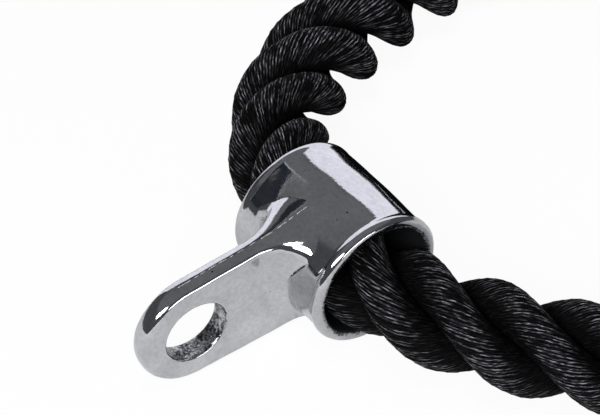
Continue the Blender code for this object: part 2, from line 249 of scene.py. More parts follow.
def smoothCurve(points, steps):
    # A natural cubic spline through the points, by chord length
    points = np.array(points)
    gaps = np.linalg.norm(np.diff(points, axis=0), axis=1)
    knots = runningSum(gaps)
    count = len(points)
    system = np.eye(count)
    right = np.zeros((count, 3))
    slopes = np.diff(points, axis=0) / gaps[:, None]
    for i in range(1, count - 1):
        system[i, i - 1:i + 2] = (gaps[i - 1], 2 * (gaps[i - 1] + gaps[i]), gaps[i])
        right[i] = 6 * (slopes[i] - slopes[i - 1])
    bend = np.linalg.solve(system, right)
    t = np.linspace(0, knots[-1], steps)
    i = np.clip(np.searchsorted(knots, t, side="right") - 1, 0, count - 2)
    gap = gaps[i][:, None]
    after = (t - knots[i])[:, None]
    before = gap - after
    curved = (bend[i] * before ** 3 + bend[i + 1] * after ** 3) / (6 * gap)
    start = points[i] / gap - bend[i] * gap / 6
    stop = points[i + 1] / gap - bend[i + 1] * gap / 6
    return curved + start * before + stop * after


def ropeLine(setup):
    table = setup["modelRadius"] + setup["touchGap"]
    toStop = setup["stopRadius"] - table
    toBore = setup["collarRadius"] - setup["boreRadius"] + setup["boreRest"]
    toBore += setup["modelRadius"] - table
    route = [(x, y, table + toBore * bore + toStop * stop) for x, y, bore, stop in ropeRoute]
    curve = smoothCurve(route, setup["routeSteps"])
    ends = [(tip, unit((tip - last) * (1, 1, 0)))
            for tip, last in ((curve[0], curve[1]), (curve[-1], curve[-2]))]
    tails = [tip + way * setup["tail"] for tip, way in ends]
    whole = np.vstack([tails[0], curve, tails[1]])
    travel = runningSum(np.linalg.norm(np.diff(whole, axis=0), axis=1))
    stations = np.linspace(0, travel[-1], ceil(travel[-1] / setup["ringStep"]) + 1)
    line = np.stack([np.interp(stations, travel, whole[:, k]) for k in range(3)], axis=1)
    middle = travel[1 + int(np.argmin(np.abs(curve[:, 0]) + np.abs(curve[:, 1])))]
    toFrame = np.array((collarCentre.x, collarCentre.y, 0))
    return line + toFrame, stations - middle, [(tip + toFrame, way) for tip, way in ends]


def onFarArm(along, span):
    start, full, fade, stop = span
    return easeBetween(-along, start, full) * easeBetween(along, -stop, -fade)


def makeRope(setup, material):
    line, along, ends = ropeLine(setup)
    ways = unit(np.gradient(line, axis=0))
    across = unit(np.cross((0, 0, 1), ways))
    upward = np.cross(ways, across)
    inward = unit(np.gradient(ways, axis=0))
    # How far each strand has turned, and how swollen it is, at each ring
    farShare = easeBetween(-along, 0, setup["layChange"])
    lays = setup["nearLay"] + (setup["farLay"] - setup["nearLay"]) * farShare
    turned = runningSum(np.diff(along) * 2 * pi / ((lays[1:] + lays[:-1]) / 2))
    turned -= np.interp(0, along, turned)
    radius = setup["strandRadius"] * (1 + setup["farSwell"] * onFarArm(along, setup["swellSpan"]))
    offset = radius * setup["strandSpread"] / sin(pi / 3)
    bulge = setup["innerBulge"] * onFarArm(along, setup["bulgeSpan"])
    # A swollen strand would sink into the table, so there the rope's middle lies higher
    swell = radius - setup["strandRadius"]
    raised = line + swell[:, None] * setup["raise"] * np.array((0, 0, 1))
    random = np.random.default_rng(setup["seed"])
    rows = len(line)
    yarns = setup["yarns"]
    columns = 3 * yarns           # both sides of a crown and a groove for each yarn
    half = setup["halfCrown"]
    # The map's first number counts yarns, and the second is metres along the rope
    left = np.tile((-half, half, 0.5), yarns) + np.repeat(np.arange(yarns), 3)
    right = left + np.tile((2 * half, 0.5 - half, 0.5 - half), yarns)
    low, high = along[:-1, None], along[1:, None]
    corners = np.broadcast_arrays(left, low, left, high, right, high, right, low)
    stripes = np.stack(corners, axis=-1).reshape(-1, 2)
    points, faces, uvs, valleyShade = [], [], [], []
    for index in range(3):
        turn = (setup["phase"] + turned + 2 * pi * index / 3)[:, None]
        outward = np.cos(turn) * across + np.sin(turn) * upward
        inside = np.maximum((outward * inward).sum(axis=1), 0) * bulge
        core = raised + (offset + inside / 2)[:, None] * outward
        aside, lift = [smoothNoise(random, rows, yarns, every) for every in setup["wanderSteps"]]
        aside *= setup["yarnSideways"]
        lift *= setup["yarnWander"]
        groove = (aside + np.roll(aside, -1, axis=1)) / 2 + 0.5
        place = np.arange(yarns)[:, None] + np.stack([aside - half, aside + half, groove], axis=2)
        deep = np.minimum(lift, np.roll(lift, -1, axis=1)) - setup["yarnDepth"]
        height = np.stack([lift, lift, deep], axis=2).reshape(rows, columns)
        # Seen from outside the yarns run along the rope, because they turn against the lay
        against = (offset / radius) * (turned + setup["phase"])
        angle = (place.reshape(rows, columns) * 2 * pi / yarns - against[:, None])[..., None]
        reach = (radius + inside / 2)[:, None] + height
        ring = np.cos(angle) * across[:, None] + np.sin(angle) * upward[:, None]
        ring = core[:, None] + reach[..., None] * ring
        ring[..., 2] = np.maximum(ring[..., 2], setup["pressed"])
        faces += skin(rows, columns, len(points))
        points += ring.reshape(-1, 3).tolist()
        uvs += [stripes + (index * yarns, 0), np.zeros((2 * columns, 2))]
        # Painted shade: how far out of the valleys between the strands each point lies, which
        # darkens the yarns' colour in the valleys
        out = np.linalg.norm(ring - raised[:, None], axis=2)
        valleyShade.append(easeBetween(out, setup["valley"], setup["back"]).ravel())
    piece = addPiece("laid_rope", points, faces, material, "rope",
                     ("rope_strand_1", "rope_strand_2", "rope_strand_3"))
    layer = piece.data.uv_layers.new(name="yarns")
    layer.data.foreach_set("uv", np.concatenate(uvs).astype(np.float32).ravel())
    # The painted valley shade goes to the material as the attribute back
    valleyShadeLayer = piece.data.attributes.new("back", "FLOAT", "POINT")
    valleyShadeLayer.data.foreach_set("value", np.concatenate(valleyShade).astype(np.float32))
    return ends


def blackYarn(yarn):
    # Multifilament polypropylene, extruded and laid: deep black, with painted highlights and
    # painted glints on each yarn
    where = addNode(yarn, "UVMap", uv_map="yarns")
    across = addNode(yarn, "SeparateXYZ", {"Vector": where})
    number = addNode(yarn, "Math", {0: across}, operation="ROUND")
    aside = addNode(yarn, "Math", {0: across, 1: number}, operation="SUBTRACT")
    aside = addNode(yarn, "Math", {0: aside}, operation="ABSOLUTE")
    crest = addNode(yarn, "MapRange", {
        "Value": aside, "From Min": 0.32, "From Max": 0.08}, **smooth)
    # Painted highlight: each yarn's crest is painted lighter for about 7 mm at a time, where a
    # twisted yarn would catch the light
    highlightPlace = addNode(yarn, "CombineXYZ", {"X": number, "Y": across.node.outputs["Y"]})
    highlightPlace = addNode(yarn, "Mapping", {"Vector": highlightPlace, "Scale": (7.31, 1 / (7.0 * mm), 1.0)})
    lit = addNode(yarn, "TexNoise", {
        "Vector": highlightPlace, "Scale": 1.0, "Detail": 1.0}, noise_dimensions="2D")
    lit = addNode(yarn, "MapRange", {"Value": lit, "From Min": 0.34, "From Max": 0.62}, **smooth)
    # Painted shade: the lit crests are darkened towards the valleys between the strands
    back = addNode(yarn, "Attribute", output="Fac", attribute_name="back")
    lit = addNode(yarn, "Math", {0: lit, 1: back}, operation="MULTIPLY")
    paintedHighlight = addNode(yarn, "Math", {0: lit, 1: crest}, operation="MULTIPLY")
    # Filaments, drawn 0.2 mm wide and 1.8 mm long so that they show, lean across the yarn; they
    # give its bump and its painted glints
    slant = addNode(yarn, "Mapping", {
        "Vector": where, "Scale": (4.5, 1 / (1.8 * mm), 1.0), "Rotation": (0, 0, 0.35)})
    filaments = addNode(yarn, "TexNoise", {
        "Vector": slant, "Scale": 1.0, "Detail": 1.5}, noise_dimensions="2D")
    paintedGlint = addNode(yarn, "MapRange", {
        "Value": filaments, "From Min": 0.49, "From Max": 0.70}, **smooth)
    share = addNode(yarn, "MapRange", {"Value": paintedHighlight, "To Min": 0.02})
    paintedGlint = addNode(yarn, "Math", {0: paintedGlint, 1: share}, operation="MULTIPLY")
    # Painted highlight: the lit crests (#202024) and the glints (#88888e) are painted into the base
    # colour
    tone = addNode(yarn, "Mix", {"Factor": paintedHighlight, 6: "#000000", 7: "#202024"}, **blend)
    tone = addNode(yarn, "Mix", {"Factor": paintedGlint, 6: tone, 7: "#88888e"}, **blend)
    rough = addNode(yarn, "MapRange", {"Value": paintedHighlight, "To Min": 0.8, "To Max": 0.38})
    bump = addNode(yarn, "Bump", {"Height": filaments, "Strength": 0.8, "Distance": 0.15 * mm})
    # The gaps between the filaments swallow most of the light
    return addNode(yarn, "BsdfPrincipled", {
        "Base Color": tone, "Roughness": rough, "Specular IOR Level": 0.07, "Normal": bump})


ropeEnds = makeRope(rope, makeMaterial("laid_polypropylene_yarn", blackYarn))
print("rope is laid")


# Collar fitting: one polished casting, worked out as a distance to its surface in millimetres

fitting = {
    "collarRadius": 19.3,
    "collarLength": 36.4,
    "boreRadius": 16.0,
    "lipRound": 1.5,
    "lipBlend": 0.5,
    "mouthRound": 0.9,
    "mouthReach": 1.2,            # how far the unpolished mouth reaches out round the bore
    "nearDraw": 0.55,             # how far the collar draws in before its near lip
    "eyeDistance": 44.7,
    "eyeRadius": 8.8,
    "eyeRound": 0.8,
    "lugHalfWidth": 15.7,
    "lugHalfThickness": 3.1,
    "lugCrown": 0.9,              # how much the lug's edge is higher in its middle
    "lugEdgeRound": 1.2,
    "rootEdgeRound": 4.2,         # the same at the collar
    "flareRadius": 80.0,          # where the lug's upper edge runs out onto the collar
    "faceFillet": 5.2,            # between the lug's faces and the collar
    "rootSpread": 5.4,            # how much the lug's upper part widens on each side at the collar
    "rootFrom": 25.0,             # where it starts and ends, before the collar's axis
    "rootTo": 9.0,
    "rootLow": 3.0,               # heights between which it sets in
    "rootHigh": 13.0,
    "handPolish": 0.045,          # how far the polishing left the surface uneven
    "cell": 0.5,                  # of the grid that the surface is found in
    "margin": 1.0,                # between the casting and that grid's sides
    "pulls": 4,                   # times that each point is pulled onto the surface
    "slopeStep": 0.02,            # to each side of a point
}


def roundUnion(a, b, radius):
    outside = np.hypot(np.maximum(radius - a, 0), np.maximum(radius - b, 0))
    return np.maximum(radius, np.minimum(a, b)) - outside


def roundCut(a, b, radius):
    return -roundUnion(-a, -b, radius)


def lugOutline(y, z, size):
    # Flat outline: round at the eye, with a level upper edge and a lower one that meets the collar
    eye = size["eyeDistance"]
    end = size["lugHalfWidth"]
    above = np.hypot(y - np.clip(y, -eye, 0), z) - end
    along = y + eye
    slope = (end - size["collarRadius"]) / eye
    square = (1 - slope * slope) ** 0.5
    key = along * square + z * slope
    straight = -z * square + along * slope - end
    nearEye = np.hypot(along, z) - end
    nearCollar = np.hypot(y, z) - size["collarRadius"]
    below = np.where(key < 0, nearEye, np.where(key > square * eye, nearCollar, straight))
    outline = np.minimum(np.where(z >= 0, above, below), nearCollar)
    # The flare is an arc that touches the upper edge and the collar
    flare = size["flareRadius"]
    middleZ = end + flare
    middleY = -((size["collarRadius"] + flare) ** 2 - middleZ ** 2) ** 0.5
    beside = -middleY * (z - middleZ) + middleZ * (y - middleY)
    fromMiddle = np.hypot(y - middleY, z - middleZ)
    return np.where((y > middleY) & (beside < 0) & (z > 0), flare - fromMiddle, outline)


def fittingDistance(points, size):
    x, y, z = points[..., 0], points[..., 1], points[..., 2]
    far = np.hypot(y, z)
    lip = size["lipRound"]
    fromLip = size["collarLength"] / 2 - lip
    ring = size["collarRadius"] - lip
    outward = far - ring + easeBetween(x, 0, fromLip) * size["nearDraw"]
    endward = np.abs(x) - fromLip
    collar = np.hypot(np.maximum(outward, 0), np.maximum(endward, 0))
    collar += np.minimum(np.maximum(outward, endward), 0) - lip
    bead = np.hypot(far - ring, endward) - lip
    collar = roundUnion(collar, bead, size["lipBlend"])
    spread = easeBetween(y, -size["rootFrom"], -size["rootTo"])
    spread = spread * easeBetween(z, size["rootLow"], size["rootHigh"])
    halfWidth = size["lugHalfThickness"] + size["rootSpread"] * spread
    plate = roundUnion(collar, np.abs(x) - halfWidth, size["faceFillet"])
    crown = size["lugCrown"] * np.minimum(np.abs(x) / halfWidth, 1) ** 2
    edge = size["lugEdgeRound"] + (size["rootEdgeRound"] - size["lugEdgeRound"]) * spread
    lug = roundCut(lugOutline(y, z, size) + crown, plate, edge)
    form = roundCut(np.minimum(collar, lug), size["boreRadius"] - far, size["mouthRound"])
    eye = size["eyeRadius"] - np.hypot(y + size["eyeDistance"], z)
    form = roundCut(form, eye, size["eyeRound"])
    # The polishing left waves of 12 to 15 mm
    wave = np.sin(x * 0.41 + y * 0.23 + 1.1) * np.sin(y * 0.37 - z * 0.31 + 0.4)
    wave += np.sin(z * 0.48 + x * 0.19 + 2.3) * np.sin(y * 0.21 + z * 0.17 + x * 0.33)
    return form + wave * size["handPolish"]


def slopeOf(points, size):
    step = size["slopeStep"]
    return np.stack([fittingDistance(points + way, size) - fittingDistance(points - way, size)
                     for way in np.eye(3) * step], axis=1) / (2 * step)


def surfaceOf(size, low, high):
    # Surface nets: one point for each cell that the surface passes through, pulled onto it
    cell = size["cell"]
    counts = [int(ceil((b - a) / cell)) + 1 for a, b in zip(low, high)]
    axes = [a + cell * np.arange(n) for a, n in zip(low, counts)]
    values = fittingDistance(np.stack(np.meshgrid(*axes, indexing="ij"), axis=-1), size)
    inside = values < 0
    corners = [(i, j, k) for i in (0, 1) for j in (0, 1) for k in (0, 1)]
    full = sum(inside[tuple(slice(s, n - 1 + s) for s, n in zip(shift, counts))].astype(int)
               for shift in corners)
    crossed = (full > 0) & (full < 8)
    base = np.argwhere(crossed)
    number = -np.ones(crossed.shape, int)
    number[crossed] = np.arange(len(base))
    total = np.zeros((len(base), 3))
    weight = np.zeros(len(base))
    for axis, step in enumerate(np.eye(3, dtype=int)):
        for shift in corners:
            if shift[axis]:
                continue
            here = base + shift
            a = values[tuple(here.T)]
            b = values[tuple((here + step).T)]
            cut = (a < 0) != (b < 0)
            share = np.where(cut, a / np.where(cut, a - b, 1), 0)
            total += (here + share[:, None] * step) * cut[:, None]
            weight += cut
    points = np.array(low) + cell * total / weight[:, None]
    for _ in range(size["pulls"]):
        slope = slopeOf(points, size)
        pull = fittingDistance(points, size) / np.maximum((slope ** 2).sum(axis=1), 0.05)
        points -= np.clip(pull, -cell / 2, cell / 2)[:, None] * slope
    quads = []
    for axis in range(3):
        u, v = [k for k in range(3) if k != axis]
        spots = np.argwhere(inside != np.roll(inside, -1, axis=axis))
        keep = (spots[:, axis] < counts[axis] - 1) & (spots[:, u] > 0) & (spots[:, v] > 0)
        keep &= (spots[:, u] < counts[u] - 1) & (spots[:, v] < counts[v] - 1)
        spots = spots[keep]
        around = []
        for back in ((1, 1), (0, 1), (0, 0), (1, 0)):
            cells = spots.copy()
            cells[:, [u, v]] -= back
            around.append(number[tuple(cells.T)])
        quad = np.stack(around, axis=1)
        flip = inside[tuple(spots.T)] ^ (axis == 1)
        quad[~flip] = quad[~flip][:, ::-1]
        quads.append(quad)
    return points, np.vstack(quads)


def lugDroop(size):
    # The lug lies on the table with its lower edge, so it hangs a little from the collar's axis
    droop = asin((size["collarRadius"] - size["lugHalfWidth"]) / size["eyeDistance"])
    return np.array(Matrix.Rotation(droop, 3, "X"))


def placeFitting(points, size):
    return (points @ lugDroop(size).T * mm + np.array(collarCentre)).tolist()


def makeFitting(size, plate, paintedBoreShade, rough):
    margin = size["margin"]
    reach = size["collarLength"] / 2 + margin
    radius = size["collarRadius"] + margin
    tip = -size["eyeDistance"] - size["lugHalfWidth"] - margin
    points, quads = surfaceOf(size, (-reach, tip, -radius), (reach, radius, radius))
    normals = unit(slopeOf(points, size)) @ lugDroop(size).T
    piece = addPiece("chrome_fitting", placeFitting(points, size), quads.tolist(), plate,
                     "collar", ("collar_fitting",))
    piece.data.normals_split_custom_set_from_vertices(normals.tolist())
    # The bore's inside is painted nearly black, painted shade, and its mouths and the eye's wall
    # aren't polished
    piece.data.materials.append(paintedBoreShade)
    piece.data.materials.append(rough)
    x, y, z = points[quads].mean(axis=1).T
    fromBore = np.hypot(y, z) - size["boreRadius"]
    fromEye = np.hypot(y + size["eyeDistance"], z) - size["eyeRadius"]
    unpolished = (fromBore < size["mouthReach"]) & (np.abs(x) > size["collarLength"] / 4)
    unpolished |= fromEye < size["eyeRound"] / 4
    inBore = fromBore < size["mouthRound"] / 3
    finish = np.where(inBore, 1, np.where(unpolished, 2, 0))
    piece.data.polygons.foreach_set("material_index", finish.astype(np.int32))


def chromePlate(chrome):
    # Chrome plate over a polished casting: bright, faintly rippled, with small dark pits in it
    where = addNode(chrome, "TexCoord", output="Object")
    patches = addNode(chrome, "TexNoise", {
        "Vector": where, "Scale": 1 / (7.7 * mm), "Detail": 5.0, "Roughness": 0.6})
    ripples = addNode(chrome, "TexNoise", {"Vector": where, "Scale": 1 / (1.1 * mm), "Detail": 3.0})
    # One pit for each cell of 2.6 mm, most of them too small to see
    cells = addNode(chrome, "TexVoronoi", {"Vector": where, "Scale": 1 / (2.6 * mm)})
    reach = addNode(chrome, "SeparateColor", {"Color": cells.node.outputs["Color"]})
    reach = addNode(chrome, "MapRange", {"Value": reach, "From Min": 0.55, "To Max": 0.13})
    pit = addNode(chrome, "Math", {0: reach, 1: cells}, operation="SUBTRACT")
    pit = addNode(chrome, "MapRange", {"Value": pit, "From Max": 0.05}, **smooth)
    clouds = addNode(chrome, "Math", {0: patches, 1: ripples}, operation="ADD")
    clouds = addNode(chrome, "MapRange", {"Value": clouds, "From Min": 0.35, "From Max": 1.65})
    tone = addNode(chrome, "Mix", {"Factor": clouds, 6: "#a0a1a4", 7: "#d2d3d5"}, **blend)
    tone = addNode(chrome, "Mix", {"Factor": pit, 6: tone, 7: "#4a4b4e"}, **blend)
    rough = addNode(chrome, "MapRange", {
        "Value": patches, "From Min": 0.3, "From Max": 0.7, "To Min": 0.035, "To Max": 0.10})
    height = addNode(chrome, "Math", {0: ripples, 1: pit}, operation="SUBTRACT")
    bump = addNode(chrome, "Bump", {"Height": height, "Distance": 0.014 * mm})
    return addNode(chrome, "BsdfPrincipled", {
        "Base Color": tone, "Metallic": 1.0, "Roughness": rough, "Normal": bump})


def boreShade(zinc):
    # Inside the bore: dull metal with a fine grain, painted nearly black as painted shade for the
    # deep bore round the rope
    where = addNode(zinc, "TexCoord", output="Object")
    grain = addNode(zinc, "TexNoise", {"Vector": where, "Scale": 1 / (1.1 * mm), "Detail": 3.0})
    tone = addNode(zinc, "Mix", {"Factor": grain, 6: "#17181a", 7: "#2e2f31"}, **blend)
    bump = addNode(zinc, "Bump", {"Height": grain, "Strength": 0.4, "Distance": 0.1 * mm})
    return addNode(zinc, "BsdfPrincipled", {
        "Base Color": tone, "Metallic": 0.6, "Roughness": 0.6, "Normal": bump})


def platedCasting(chrome):
    # Chrome plate over an unpolished casting, in the eye and round the bore's mouths: it glitters
    where = addNode(chrome, "TexCoord", output="Object")
    grain = addNode(chrome, "TexNoise", {
        "Vector": where, "Scale": 1 / (0.8 * mm), "Detail": 3.0, "Roughness": 0.6})
    patches = addNode(chrome, "TexNoise", {"Vector": where, "Scale": 1 / (3.0 * mm), "Detail": 2.0})
    share = addNode(chrome, "Math", {0: grain, 1: patches}, operation="ADD")
    share = addNode(chrome, "MapRange", {
        "Value": share, "From Min": 0.8, "From Max": 1.2}, **smooth)
    tone = addNode(chrome, "Mix", {"Factor": share, 6: "#3c3d40", 7: "#c9cacc"}, **blend)
    bump = addNode(chrome, "Bump", {"Height": grain, "Distance": 0.22 * mm})
    return addNode(chrome, "BsdfPrincipled", {
        "Base Color": tone, "Metallic": 1.0, "Roughness": 0.25, "Normal": bump})


def wornZinc(zinc):
    # Bare zinc alloy, worn by the polishing wheel: pale and dull along the mould's seam
    where = addNode(zinc, "TexCoord", output="Object")
    grain = addNode(zinc, "TexNoise", {"Vector": where, "Scale": 1 / (0.7 * mm), "Detail": 2.0})
    tone = addNode(zinc, "Mix", {"Factor": grain, 6: "#7c7c7a", 7: "#d2d2cf"}, **blend)
    return addNode(zinc, "BsdfPrincipled", {
        "Base Color": tone, "Metallic": 0.5, "Roughness": 0.55})


seam = {
    # The line that the two halves of the mould left along the lug's upper edge, in millimetres
    "halfWidth": 0.20,
    "height": 0.16,
    "leastHeight": -0.4,          # share of that, where the seam dips under the surface
    "moreHeight": 0.35,           # share of that, by which it stands out more than it dips
    "root": 0.06,                 # how deep its foot lies under the surface
    "wander": 0.12,
    "wanderSteps": (9, 3),        # steps between two turns of its line and of its height
    "tipAngle": 5,                # degrees from the top of the lug's round end to where it starts
    "collarFrom": 44,             # degrees from the collar's top
    "collarTo": 22,
    "from": 12.0,                 # a depth from which the way out meets only the surface
    "wall": 17.5,
    "reach": 12.0,                # how far out the surface is looked for, and in how many halvings
    "halvings": 24,
    "step": 0.35,
    "seed": 5,
}


def makeSeam(setup, size, material):
    eye = size["eyeDistance"]
    step = setup["step"]
    level = size["collarRadius"] * sin(radians(setup["collarFrom"]))
    onTip = np.arange(setup["tipAngle"], 0, -np.degrees(step / size["lugHalfWidth"]))
    onEdge = np.arange(-eye, -level, step)
    onCollar = np.arange(setup["collarFrom"], setup["collarTo"],
                         -np.degrees(step / size["collarRadius"]))
    starts = [fromTop(angle) * setup["from"] - (0, eye, 0) for angle in onTip]
    starts += [np.array((0, y, setup["from"])) for y in onEdge]
    starts += [fromTop(angle) * setup["wall"] for angle in onCollar]
    starts = np.array(starts)
    angles = np.concatenate([onTip, 0 * onEdge, onCollar])
    ways = np.array([fromTop(angle) for angle in angles])
    low = np.zeros(len(starts))
    high = low + setup["reach"]
    for _ in range(setup["halvings"]):
        middle = (low + high) / 2
        outside = fittingDistance(starts + ways * middle[:, None], size) > 0
        high = np.where(outside, middle, high)
        low = np.where(outside, low, middle)
    line = starts + ways * low[:, None]
    count = len(line)
    random = np.random.default_rng(setup["seed"])
    aside, height = [smoothNoise(random, count, 1, every) for every in setup["wanderSteps"]]
    height = np.clip(height + setup["moreHeight"], setup["leastHeight"], 1) * setup["height"]
    points = []
    for side in (1, 0, -1):
        rise = -setup["root"] if side else height
        shift = aside * setup["wander"] + side * setup["halfWidth"]
        points.append(line + ways * rise + shift * (1, 0, 0))
    points = np.stack(points, axis=1).reshape(-1, 3)
    addPiece("mould_seam", placeFitting(points, size), skin(count, 3), material, "collar")


# The fitting's three finishes: polished chrome, painted shade inside the bore, and rough chrome
makeFitting(fitting, makeMaterial("chrome_plated_casting", chromePlate),
            makeMaterial("bore_painted_shade", boreShade),
            makeMaterial("chrome_plated_rough_casting", platedCasting))
makeSeam(seam, fitting, makeMaterial("worn_zinc_alloy", wornZinc))
print("fitting is cast")


# Rope ends: each is turned about the rope, from the stop's neck face outwards, in millimetres

end = {
    "sides": 96,
    "sharpAngle": 40,             # degrees, corners sharper than this keep a crisp edge
    "seat": 13.94,                # radius of the hole for the rope
    "neck": 18.64,
    "neckLength": 10.0,
    "neckRound": 1.2,
    "blend": 14.0,                # from the neck to the full radius
    "radius": 24.14,
    "length": 54.0,
    "rimRound": 5.0,
    "grooveDepth": 1.2,
    "grooveWidth": 3.6,
    "grooveShares": (0.30, 0.70),
    "socket": 16.74,              # radius of the room for the band and the cap
    "shoulder": 28.0,
    "edge": 0.35,                 # rounding of the moulded corners
    "ridge": 0.16,                # height of the moulding line
    "ridgeSides": (-0.9, -0.4, 0.4, 0.9),        # degrees
    "washer": (28.3, 29.9),
    "band": (30.2, 46.2),
    "bandRadius": 16.34,
    "metalEdge": 0.2,
    "fluteShares": (0.2, 0.5, 0.8),
    "fluteDepth": 0.5,
    "cap": (46.5, 54.0),
    "capRadius": 16.44,
    "capSkirt": 2.2,
    "capEdge": 0.3,
    "dish": 1.0,
    "capRings": (4.0, 9.0),       # radii of two raised rings in the dish
    "ringHeight": 0.36,
    "ringHalfWidth": 0.7,
    "gate": 1.1,                  # radius of the mark left by the mould's gate
}


def corner(x, radius, size, start, stop, steps=4):
    # An arc about a point, from one angle to another, in degrees from the outward axis
    turns = np.radians(np.linspace(start, stop, steps))
    return [(x + size * cos(a), radius + size * sin(a)) for a in turns]


def stopOutline(size):
    edge = size["edge"]
    rounding = size["neckRound"]
    points = corner(rounding, size["neck"] - rounding, rounding, 180, 90, 6)
    points += [(size["neckLength"] * share, size["neck"]) for share in (0.4, 0.7)]
    for t in np.linspace(0, 1, 15):
        rise = (size["radius"] - size["neck"]) * t * t * (3 - 2 * t)
        points.append((size["neckLength"] + size["blend"] * t, size["neck"] + rise))
    start = size["neckLength"] + size["blend"]
    span = size["length"] - size["rimRound"] - start
    for share in size["grooveShares"]:
        middle = start + span * share
        for t in np.linspace(-1, 1, 17):
            fall = size["grooveDepth"] * ((1 + cos(pi * t)) / 2) ** 0.75
            points.append((middle + t * size["grooveWidth"] / 2, size["radius"] - fall))
    rim = size["rimRound"]
    points += corner(size["length"] - rim, size["radius"] - rim, rim, 90, 0, 13)
    outer = len(points)
    points += corner(size["length"] - edge, size["socket"] + edge, edge, 0, -90)
    points += [(size["shoulder"], size["socket"]), (size["shoulder"], size["seat"] + edge)]
    points += corner(edge, size["seat"] + edge, edge, 270, 180)
    return points, outer, True


def tubeOutline(size, x, flutes=()):
    edge = size["metalEdge"]
    low, high = x
    points = corner(low + edge, size["bandRadius"] - edge, edge, 180, 90)
    for share in flutes:
        half = (high - low) / 12
        for t in np.linspace(-1, 1, 9):
            fall = size["fluteDepth"] * (1 + cos(pi * t)) / 2
            points.append((low + (high - low) * share + t * half, size["bandRadius"] - fall))
    points += corner(high - edge, size["bandRadius"] - edge, edge, 90, 0)
    points += corner(high - edge, size["seat"] + edge, edge, 0, -90)
    points += corner(low + edge, size["seat"] + edge, edge, 270, 180)
    return points, 0, True


def capOutline(size):
    low, high = size["cap"]
    radius = size["capRadius"]
    skirt = size["capSkirt"]
    edge = size["capEdge"]
    inner = radius - skirt
    floor = high - size["dish"]
    points = [(low, inner), (low, radius - skirt / 2), (low + skirt / 4, radius - skirt / 4),
              (low + skirt / 2, radius)]
    points += corner(high - skirt / 4, radius - skirt / 4, skirt / 4, 90, 0, 5)
    points += corner(high - edge, inner + edge, edge, 0, -60)
    points += [(floor + 0.2, inner - size["dish"] + 0.2), (floor, inner - size["dish"] - 0.4)]
    for middle in reversed(size["capRings"]):
        for t in np.linspace(1, -1, 7):
            rise = size["ringHeight"] * (1 + cos(pi * t)) / 2
            points.append((floor + rise, middle + size["ringHalfWidth"] * t))
    gate = size["gate"]
    points += [(floor, gate + 0.2), (floor + 0.25, gate), (floor + 0.30, gate * 0.6)]
    return points, 0, False


def turnPiece(name, node, outline, size, place, material):
    # The outline tells how many of its points have the moulding line, and whether it is a ring
    points, outer, ring = outline
    tip, way = place
    sides = size["sides"]
    angles = np.arange(sides) * 2 * pi / sides
    lines = np.zeros(sides)
    if outer:
        # The moulding line runs along both sides of the stop, in the place of one line of points
        extra = np.radians(size["ridgeSides"])
        angles = np.concatenate([np.delete(angles, [0, sides // 2]), extra % (2 * pi), extra + pi])
        lines = np.concatenate([lines[2:], np.tile((0, 1, 1, 0), 2)])
        order = np.argsort(angles)
        angles, lines = angles[order], lines[order]
    aside = np.cross((0, 0, 1), way)
    outward = np.cos(angles)[:, None] * aside + np.sin(angles)[:, None] * np.array((0, 0, 1))
    x, radius = np.array(points).T * mm
    ridge = np.where(np.arange(len(points)) < outer, size["ridge"] * mm, 0)
    reach = radius[:, None] + ridge[:, None] * lines
    spots = tip + x[:, None, None] * way + reach[..., None] * outward
    faces = skin(len(points), len(angles), ring=ring)
    piece = addPiece(name, spots.reshape(-1, 3).tolist(), faces, material, "rope", (node,))
    piece.data.set_sharp_from_angle(angle=radians(size["sharpAngle"]))


def mouldedRubber(rubber):
    # Compression-moulded rubber: almost black, satin, with a grey bloom and a fine pitted skin
    where = addNode(rubber, "TexCoord", output="Object")
    bloom = addNode(rubber, "TexNoise", {"Vector": where, "Scale": 1 / (14.0 * mm), "Detail": 5.0})
    pitted = addNode(rubber, "TexNoise", {"Vector": where, "Scale": 1 / (0.7 * mm), "Detail": 3.0})
    scuffs = addNode(rubber, "TexNoise", {
        "Vector": where, "Scale": 1 / (3.5 * mm), "Detail": 6.0, "Roughness": 0.7,
        "Distortion": 1.2})
    tone = addNode(rubber, "Mix", {"Factor": bloom, 6: "#101011", 7: "#262627"}, **blend)
    worn = addNode(rubber, "MapRange", {
        "Value": scuffs, "From Min": 0.58, "From Max": 0.72, "To Max": 0.45}, **smooth)
    tone = addNode(rubber, "Mix", {"Factor": worn, 6: tone, 7: "#3d3d3e"}, **blend)
    rough = addNode(rubber, "MapRange", {
        "Value": scuffs, "From Min": 0.3, "From Max": 0.7, "To Min": 0.45, "To Max": 0.68})
    bump = addNode(rubber, "Bump", {"Height": pitted, "Strength": 0.8, "Distance": 0.12 * mm})
    return addNode(rubber, "BsdfPrincipled", {
        "Base Color": tone, "Roughness": rough, "IOR": 1.52, "Normal": bump})


def platedSteel(steel):
    # Bright zinc plate on a stamped steel washer: bluish, with a faint spangle
    where = addNode(steel, "TexCoord", output="Object")
    spangle = addNode(steel, "TexVoronoi", {"Vector": where, "Scale": 1 / (1.3 * mm)}, "Color")
    red = addNode(steel, "SeparateColor", {"Color": spangle})
    tone = addNode(steel, "Mix", {"Factor": red, 6: "#a8abb0", 7: "#c3c6ca"}, **blend)
    rough = addNode(steel, "MapRange", {
        "Value": red.node.outputs["Green"], "To Min": 0.22, "To Max": 0.40})
    return addNode(steel, "BsdfPrincipled", {
        "Base Color": tone, "Metallic": 1.0, "Roughness": rough})


